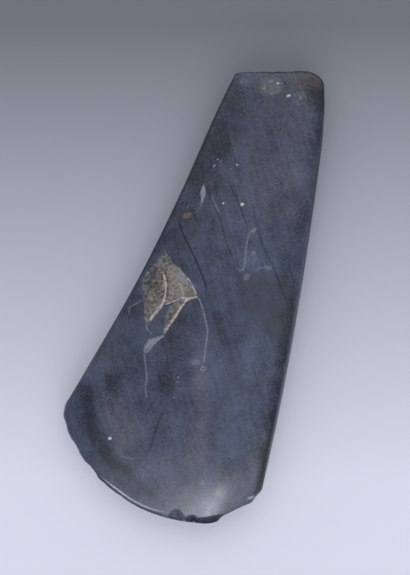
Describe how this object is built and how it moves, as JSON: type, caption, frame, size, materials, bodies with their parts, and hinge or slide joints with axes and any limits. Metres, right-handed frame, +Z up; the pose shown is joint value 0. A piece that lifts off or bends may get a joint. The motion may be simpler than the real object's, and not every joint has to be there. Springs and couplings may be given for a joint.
{
  "type": "jadeite axe head",
  "caption": "Long flat ground-stone axe head with a broad curved cutting edge, a narrow oblique butt and old flake scars, lying on its face.",
  "frame": {"origin": "on the resting plane, under the middle of the blade's bounding box", "axes": "+Z up through the thin way, +Y from the cutting edge to the butt, +X to the right seen from above"},
  "size_m": [0.0912, 0.2, 0.02],
  "materials": {
    "jadeite": "ground and polished dark blue-grey stone, dull and pecked at the butt, matt grey-brown in the flake scars"
  },
  "bodies": {
    "root": {"axe_head": "jadeite"}
  },
  "joints": []
}
